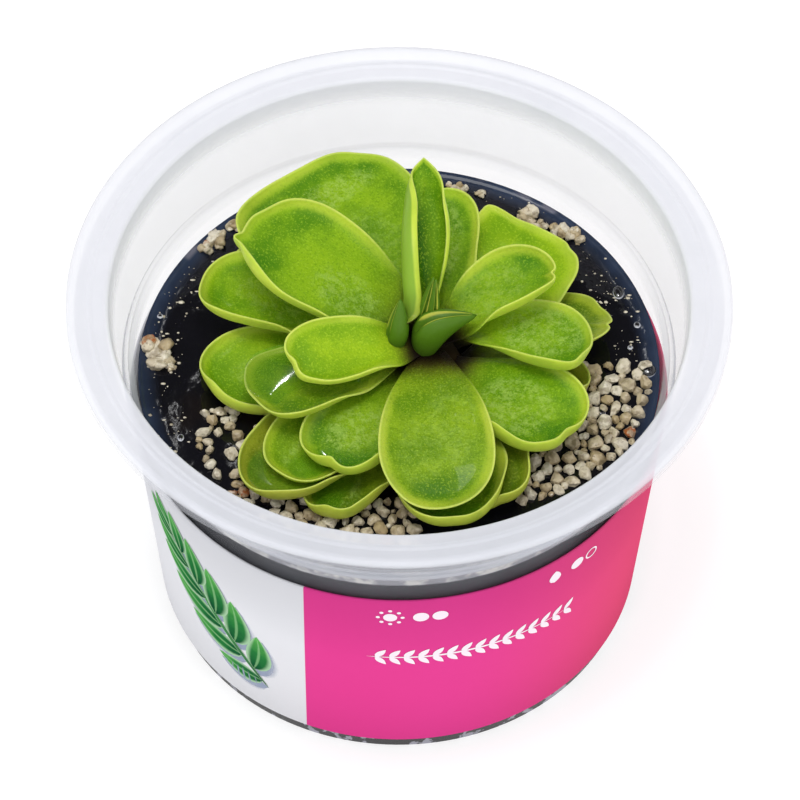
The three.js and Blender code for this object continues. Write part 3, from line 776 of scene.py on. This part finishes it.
def leafPaint():
    # the upper face: glistening and green, olive and darkened by painted shade at the crown, brighter on the rolled
    # margin
    paint = Paint("leaf_upper_face")
    rim, reach, tone, wet, dew, groove = map(paint.attribute, ("rim", "reach", "tone", "wet", "dew", "groove"))
    body, deep, pale, margin = (paint.shades(tone, *leafColours[part]) for part in ("body", "deep", "pale", "margin"))
    patch = paint.ramp(paint.noise(130, 3, 0.6), 0.36, 0.66)
    body = paint.mix(patch * 0.6, body, deep)
    # painted shade inside the rolled margin towards the tip, in patches
    shadeInLip = paint.ramp(rim, 0.45, 0.9) * paint.ramp(rim, 2.6, 1.2) * paint.ramp(reach, 0.45, 0.85)
    body = paint.mix(shadeInLip * (0.35 + patch * 0.5), body, deep)
    # painted shade in the fold along the midrib
    body = paint.mix(groove, body, leafColours["groove"])
    body = shadeFoot(paint, body, reach, leafColours["foot"])
    # the margin is brighter, here more and there less, with a pale line on its very edge that is a painted highlight
    outward = paint.ramp(reach, 0.1, 0.45)
    lip = paint.ramp(rim, 0.72, 0.2) * outward
    body = paint.mix(lip * (0.42 + paint.ramp(paint.noise(85, 2), 0.36, 0.6) * 0.46), body, margin)
    body = paint.mix(paint.ramp(rim, 0.16, 0) * outward * 0.6, body, leafColours["rim"])
    # velvet of tiny glands: dark between, pale on their heads, milky where dew has gathered, a painted sheen of its
    # glistening drops
    between, heads = paint.noise(2700, 3, 0.7), paint.noise(3300, 2, 0.6)
    plainly = (1 - lip * 0.7) * paint.ramp(reach, 0, 0.22)
    body = paint.mix(paint.ramp(between, 0.5, 0.64) * plainly * 0.42, body, deep)
    body = paint.mix(paint.ramp(heads, 0.52, 0.66) * plainly * 0.45, body, pale)
    clusters = paint.ramp(paint.noise(900, 4, 0.75), 0.44, 0.6)
    drops = paint.ramp(paint.cells(2600), 0.46, 0.2)
    dewSheen = dew * (clusters * 0.65 + drops * 0.35) * plainly
    body = paint.mix(dewSheen * 0.72, body, leafColours["dew"])
    return paint.finish(Base_Color=body, Roughness=0.5 - drops * 0.12 - wet * 0.2, Specular_IOR_Level=0.12,
                        Coat_Weight=wet * paint.ramp(reach, 0.05, 0.3) * 0.35, Coat_Roughness=0.05,
                        Normal=paint.bump(heads + between + dewSheen, 0.00009, 0.8), **leafSkin)


def leafBackPaint():
    # the under face, which shows as a bright band where the margin rolls up
    paint = Paint("leaf_under_face")
    rim, reach, tone = map(paint.attribute, ("rim", "reach", "tone"))
    band, back = (paint.shades(tone, *leafColours[part]) for part in ("band", "back"))
    body = paint.mix(paint.ramp(rim, 0.7, 1.2), band, back)
    body = paint.mix(paint.ramp(paint.noise(240, 3), 0.4, 0.7) * 0.3, body, back)
    # darker towards the crown: partly the foot's own colour, partly painted shade under the leaves
    body = shadeFoot(paint, body, reach, leafColours["underFootTintAndShade"])
    return paint.finish(Base_Color=body, Roughness=0.42, Normal=paint.bump(paint.noise(1800, 2), 0.00005),
                        Specular_IOR_Level=0.22, **leafSkin)


def makeLeaves(under):
    upper, water = leafPaint(), waterPaint()
    seed = 0
    for tierName, rows in leafTable.items():
        for number, row in enumerate(rows, 1):
            seed += 1
            node = f"{tierName}_leaf_{number}"
            leaf = {**leafDefaults, **tiers[tierName], **row}
            sheet = leafSheet(leaf, seed)
            if leaf["pool"]:
                addPool("water_" + node, sheet, leaf, water)
            piece = addPiece("fine_" + node, sheet, upper, [node])
            piece.vertex_groups.new(name="thick")
            piece.data.materials.append(under)
            solid = thicken(piece, blade["thickness"], 0, "thick")
            solid.material_offset, solid.material_offset_rim = 1, 0
            soft = piece.modifiers.new("soft", "SUBSURF")
            soft.levels = soft.render_levels = 1
    print("leaves done")


# The youngest leaves are still shut: foot and tip of each, how broad and how deep it is, how far its middle
# stands out, and where its seam lies, as an angle round it.
buds = {
    "rows": 20, "steps": 28, "tone": 0.06, "reach": 0.7, "footGirth": 0.5, "girth": 0.72, "seam": 0.62,
    "seamWidth": 0.2, "lipAway": 0.3, "lipWidth": 0.14,
    "shoots": (
        ((-0.5, -3.3, 54.4), (0.2, -0.4, 61.9), 3.2, 2.8, (0, -0.4, 0), 0.6),
        ((2.3, -1.4, 53), (4.9, 0.9, 65.4), 2, 2.2, (0, 0, 0), 2.4),
        ((4.2, -1.7, 53), (5.2, 0.7, 65.2), 2.3, 2, (0, 0, 0), 2.4),
        ((2.9, -2.6, 52.2), (11.1, -1, 59.1), 4.4, 5.8, (-1.6, -0.1, 2.2), 1.65),
    ),
}


def addShoot(bm, foot, tip, broad, deep, sway, seam):
    # a spindle from foot to tip with a seam down one side and a pale lip on each side of it
    made = bmesh.ops.create_grid(bm, x_segments=buds["steps"], y_segments=buds["rows"], size=1)["verts"]
    spine = Vector(tip) - Vector(foot)
    aim = spine.to_track_quat("Z", "Y").to_matrix()
    for vert in made:
        turn, along = (vert.co.x + 1) * pi, (vert.co.y + 1) / 2
        swollen = max(sin(pi * along ** 0.9), 0) ** 0.75
        girth = buds["footGirth"] * (1 - along) + swollen * buds["girth"]
        crease = exp(-((turn - seam) / buds["seamWidth"]) ** 2)
        crease *= smoothstep(along, 0.15, 0.4) * smoothstep(along, 1, 0.85)
        spot = Vector((cos(turn) * broad / 2, sin(turn) * deep / 2, 0)) * girth
        spot = spot * (1 - buds["seam"] * crease) + Vector((0, 0, spine.length * along))
        vert.co = aim @ spot + Vector(foot) + Vector(sway) * sin(pi * along)
        lip = exp(-((abs(turn - seam) - buds["lipAway"]) / buds["lipWidth"]) ** 2) * smoothstep(along, 0.2, 0.5)
        setValues(bm, vert, rim=2 - 1.6 * lip, reach=along * buds["reach"], tone=buds["tone"])


def crownPaint():
    paint = Paint("crown_flesh_in_shade")
    cloud = paint.noise(400, 3)
    # dark brown flesh, darkened near to black as painted shade of the hollow at the rosette's heart
    return paint.finish(Base_Color=paint.mix(cloud, "#150b09", "#2c2210"), Roughness=0.7,
                        Normal=paint.bump(cloud, 0.0002), Specular_IOR_Level=0.05)


def makeCrown(under):
    c = crown
    heights = [lerp(c["taperFrom"], c["shoulder"], ring / c["rings"]) for ring in range(c["rings"] + 1)]
    bm = spin([(0, -c["stemDepth"]), (c["stemRadius"] - c["edge"], -c["stemDepth"]),
               (c["stemRadius"], c["edge"] - c["stemDepth"]), (c["stemRadius"], c["neckHeight"]),
               *[(crownRadius(height), height) for height in heights], (0, c["domeTop"])], c["steps"])
    bmesh.ops.translate(bm, vec=(c["x"], c["y"], gel["surface"]), verts=bm.verts)
    addPiece("crown_stem", bm, crownPaint(), ["crown"])
    bm = meshWith("rim", "reach", "tone")
    for shoot in buds["shoots"]:
        addShoot(bm, *shoot)
    closeUp(bm, 0.01)
    addPiece("young_leaves", bm, under)
    print("crown done")


# A patch has its bearings, its inner radius and the outer one at each end of them, its largest grain and how much of
# it is covered, or the place and size of each stone.
perlite = {
    "smallest": 0.5, "tries": 5000, "sink": 0.3, "spacing": 0.84, "cuts": 9, "cutDepth": (0.56, 0.84),
    "squash": ((0.85, 1.2), (0.8, 1.1), (0.75, 0.95)), "rusty": 0.035, "lumps": 7, "stoneRough": (0.34, 0.26),
    "grainRough": (0.26, 0.14), "underLeaf": 3,
    "patches": {
        "perlite_front_right": {"from": -54, "to": 2, "inner": 25.5, "outer": (30.5, 36.7), "largest": 1.3,
                                "share": 1},
        "perlite_front": {"from": -122, "to": -84, "inner": 24, "outer": (33, 33), "largest": 1.2, "share": 0.7},
        "perlite_front_left": {"from": -164, "to": -124, "inner": 23, "outer": (31.5, 33.5), "largest": 1.1,
                               "share": 0.35},
        "perlite_left": {"stones": ((-34.9, 3.9, 2.3), (-34.5, 1.2, 1.7), (-33, 0.2, 0.9))},
        "perlite_back_left": {"stones": ((-28.4, 22.4, 1.3), (-26.6, 24, 1.5), (-24.4, 26.4, 1.1))},
        "perlite_back_right": {"stones": ((8.9, 33.9, 1.2), (7.4, 34.4, 0.8), (12, 33.2, 0.8), (19, 28.6, 1.8),
                                          (20.6, 26.8, 1.3), (23.4, 26.3, 1.6), (26, 24.8, 1.5))},
    },
}


def perlitePaint():
    paint = Paint("perlite_grain")
    warm, shade = paint.attribute("warm"), paint.attribute("shade")
    cloud = paint.noise(650, 3, 0.6)
    colour = paint.mix(shade, "#b39e76", "#e2d9c4")
    colour = paint.mix(paint.ramp(cloud, 0.54, 0.34) * 0.6, colour, "#75613f")
    rust = paint.ramp(paint.noise(1100, 2), 0.48, 0.6)
    colour = paint.mix(warm * (0.35 + rust * 0.65), colour, "#a55a24")
    pits = paint.ramp(paint.cells(1300), 0.03, 0.22)
    colour = paint.mix((1 - pits) * 0.3, colour, "#84734f")
    return paint.finish(Base_Color=colour, Roughness=0.5, Coat_Weight=0.3, Coat_Roughness=0.12,
                        Normal=paint.bump(pits * 0.5 + cloud, 0.00025))


def leafTree():
    # the CAD leaves and crown, so that no granule is put where it would poke through one
    points, faces = [], []
    for name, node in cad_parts.items():
        if "leaf" in name or name == "crown":
            base = len(points)
            points += [vert.co.copy() for vert in node.data.vertices]
            faces += [[base + i for i in polygon.vertices] for polygon in node.data.polygons]
    return BVHTree.FromPolygons(points, faces)


def addGranule(bm, spot, size, lumpy, draw):
    # a rounded, chipped stone: a ball cut flat by a few planes and roughened
    warm = 1 if draw.random() < perlite["rusty"] else 0
    made = bmesh.ops.create_icosphere(bm, subdivisions=3 if lumpy else 2, radius=size)["verts"]
    squash = [draw.uniform(*reach) for reach in perlite["squash"]]
    turn = Matrix.Rotation(draw.uniform(0, fullTurn), 3, "Z")
    cuts = [(Vector([draw.gauss(0, 1) for _ in range(3)]).normalized(), draw.uniform(*perlite["cutDepth"]))
            for _ in range(perlite["cuts"])]
    coarse, fine = perlite["stoneRough" if lumpy else "grainRough"]
    shade = draw.random()
    for vert in made:
        ray = vert.co / size
        reach = min([1] + [depth / ray.dot(cut) for cut, depth in cuts if ray.dot(cut) > 0.2])
        reach *= 1.08 + coarse * noise.noise(ray * 1.2 + spot * 3) + fine * noise.noise(ray * 2.9 + spot * 5)
        vert.co = turn @ stretched(vert.co, squash) * reach + spot
        setValues(bm, vert, warm=warm, shade=shade)


def stoneSpots(patch, draw):
    # puffed lumps at set places, each a clump of granules grown together
    for x, y, size in patch["stones"]:
        for lump in range(perlite["lumps"]):
            away = polar(size * (0.55 if lump else 0), draw.uniform(0, fullTurn), size * draw.uniform(0.1, 0.45))
            yield Vector((x, y, gel["surface"])) + away, size * draw.uniform(0.42, 0.62)


def scatterSpots(patch, draw, leaves):
    # loose granules thrown at random, which keep apart and clear of the leaves
    placed = []
    for attempt in range(perlite["tries"]):
        fade = attempt / perlite["tries"]
        size = lerp(patch["largest"], perlite["smallest"], fade ** 0.5) * draw.uniform(0.85, 1.1)
        part = draw.random()
        outer = lerp(*patch["outer"], clamp(part * 1.6)) - size * 0.8
        radius = sqrt(draw.uniform(patch["inner"] ** 2, outer ** 2))
        spot = polar(radius, radians(lerp(patch["from"], patch["to"], part)),
                     gel["surface"] + size * perlite["sink"])
        if any((spot - other).length < (size + others) * perlite["spacing"] for other, others in placed):
            continue
        if leaves.find_nearest((spot + Vector((0, 0, size * 0.5))) * mm, size * 1.1 * mm)[0] is not None:
            continue
        if leaves.ray_cast(spot * mm, Vector((0, 0, -1)), perlite["underLeaf"] * mm)[0] is not None:
            continue
        if noise.noise(spot * 0.35) + 0.5 <= patch["share"] + 0.15:
            placed.append((spot, size))
    return placed


def makePerlite(grain, leaves):
    draw = random.Random(11)
    for name, patch in perlite["patches"].items():
        lumpy = "stones" in patch
        bm = meshWith("warm", "shade")
        spots = list(stoneSpots(patch, draw)) if lumpy else scatterSpots(patch, draw, leaves)
        for spot, size in spots:
            addGranule(bm, spot, size, lumpy, draw)
        print(name, len(spots), "granules")
        addPiece(name + "_grains", bm, grain, [name], lumpy)
    print("perlite done")


specks = {"count": 300, "size": 0.18, "radius": (31.5, 37.2), "clear": 0.8,
          "bearings": ((20, 78), (140, 215), (0, 30), (150, 180))}


def makeSpecks(grain, leaves):
    # crumbs of perlite that lie scattered on the gel near the wall; the pale, drawn-out ones also stand in for
    # glints, as painted highlights on the gel
    draw = random.Random(5)
    bm = meshWith("shade")
    for _ in range(specks["count"]):
        bearing = radians(draw.uniform(*draw.choice(specks["bearings"])))
        spot = polar(draw.uniform(*specks["radius"]), bearing, gel["surface"])
        size = specks["size"] * (0.35 + 1.4 * draw.random() ** 4)
        if leaves.find_nearest(spot * mm, specks["clear"] * mm)[0] is None:
            stretch = (draw.uniform(0.7, 1.9), draw.uniform(0.6, 1.1), 0.6)
            for vert in bmesh.ops.create_icosphere(bm, subdivisions=1, radius=size)["verts"]:
                vert.co = stretched(vert.co, stretch) + spot
                setValues(bm, vert, shade=1)
    addPiece("gel_crumbs_and_glints", bm, grain)
    print("crumbs done")


# across, deep, radius and how far each bubble is drawn out to the back
bubbles = {
    "flat": 0.6, "foot": (0.26, 0.12),
    "places": ((36, 0.2, 1.25, 1), (29.1, -7.6, 0.7, 1), (32, 14.7, 0.85, 1.5), (34.6, 8.6, 0.5, 1.2),
               (-34.8, 9.7, 0.45, 1), (-31.2, -12.6, 0.5, 1.3), (33.5, 4.4, 0.4, 1)),
}


def makeBubbles():
    # half sunk in the gel's skin, dark and glossy, with a pale foot painted as the bright rim that a bubble's edge
    # reflects
    paint = Paint("bubble_skin_painted_rim")
    foot = paint.ramp(paint.spot()[2], *[gel["surface"] + height for height in bubbles["foot"]])
    skin = paint.finish(Base_Color=paint.mix(foot, "#0c0b0f", "#d9dbe2"), Roughness=0.04,
                        Coat_Weight=1, Coat_Roughness=0.03)
    bm = bmesh.new()
    for across, deep, size, drawnOut in bubbles["places"]:
        for vert in bmesh.ops.create_icosphere(bm, subdivisions=3, radius=size)["verts"]:
            vert.co = Vector((across, deep, gel["surface"])) + stretched(vert.co, (1, drawnOut, bubbles["flat"]))
    addPiece("gel_bubbles", bm, skin)
    print("bubbles done")


studio = {
    "tentColour": (0.97, 0.98, 1, 1), "tentStrength": 0.9, "darkTowards": (0, 0.64, 0.77),
    "darkInside": 0.9, "darkOutside": 0.72, "darkLevel": 0.12, "floor": ("#949495", "#989898"), "floorGlow": 0.76,
    "lamps": {
        "overhead": {"place": (-0.12, -0.05, 0.95), "size": 0.45, "power": 3.2},
        "front": {"place": (0.25, -0.9, 0.45), "size": 0.6, "power": 1},
        "glint": {"place": (0.03, -0.18, 1), "size": 0.035, "power": 1},
        "spark": {"place": (-0.031, 0.602, 0.842), "size": 0.005, "power": 0.007},
        "farSpark": {"place": (-0.035, 0.578, 0.846), "size": 0.005, "power": 0.007},
    },
}


def makeStudio():
    paint = Paint("pale_floor")
    colour = paint.mix(paint.noise(3, 2), *studio["floor"])
    floorMaterial = paint.finish(Base_Color=colour, Roughness=0.8, Emission_Color="#ffffff",
                                 Emission_Strength=studio["floorGlow"])
    bm = bmesh.new()
    bmesh.ops.create_grid(bm, x_segments=1, y_segments=1, size=3000)
    floor = addObject("floor", toMesh("floor", bm))
    floor.data.materials.append(floorMaterial)

    # a white tent all round, with a darker part behind, high up, that the gel mirrors towards the front
    world = bpy.data.worlds.new("studio")
    bpy.context.scene.world = world
    world.use_nodes = True
    tent = Paint("tent", world.node_tree)
    back = tent.node("ShaderNodeVectorMath", {"operation": "DOT_PRODUCT"}, tent.node(
        "ShaderNodeTexCoord", out="Generated"), studio["darkTowards"], out="Value")
    glow = tent.ramp(back, studio["darkInside"], studio["darkOutside"]) * (1 - studio["darkLevel"])
    glow = (glow + studio["darkLevel"]) * studio["tentStrength"]
    light = tent.node("ShaderNodeBackground", None, Color=studio["tentColour"], Strength=glow)
    tent.tree.links.new(light.socket, tent.end.inputs["Surface"])

    for name, lamp in studio["lamps"].items():
        light = bpy.data.lights.new(name, "AREA")
        light.size, light.energy = lamp["size"], lamp["power"]
        holder = addObject(name, light)
        holder.location = lamp["place"]
        aim = Vector((0, 0, 0.04)) - Vector(lamp["place"])
        holder.rotation_euler = aim.to_track_quat("-Z", "Y").to_euler()


def makeCamera():
    view = {"distance": 0.855, "elevation": 51.06, "pitch": 52.05, "yaw": 0.02, "roll": 0.38, "lens": 270.3}
    rise = radians(view["elevation"])
    data = bpy.data.cameras.new("camera")
    data.lens, data.sensor_width = view["lens"], 36
    data.clip_start, data.clip_end = 0.05, 20
    camera = addObject("camera", data)
    turn = (Matrix.Rotation(-radians(view["yaw"]), 4, "Z")
            @ Matrix.Rotation(radians(90 - view["pitch"]), 4, "X")
            @ Matrix.Rotation(radians(view["roll"]), 4, "Z"))
    back = Vector((0, -cos(rise), sin(rise))) * view["distance"]
    camera.matrix_world = Matrix.Translation(Vector((0, 0, cup["height"] * mm)) + back) @ turn
    bpy.context.scene.camera = camera


makeCamera()
makeStudio()
print("camera and studio done")
makeCup()
makeLabel()
makeGel()
leafBack, grain, leaves = leafBackPaint(), perlitePaint(), leafTree()
makeLeaves(leafBack)
makeCrown(leafBack)
makePerlite(grain, leaves)
makeSpecks(grain, leaves)
makeBubbles()
bpy.context.scene.view_settings.view_transform = "Standard"

print("scene done")
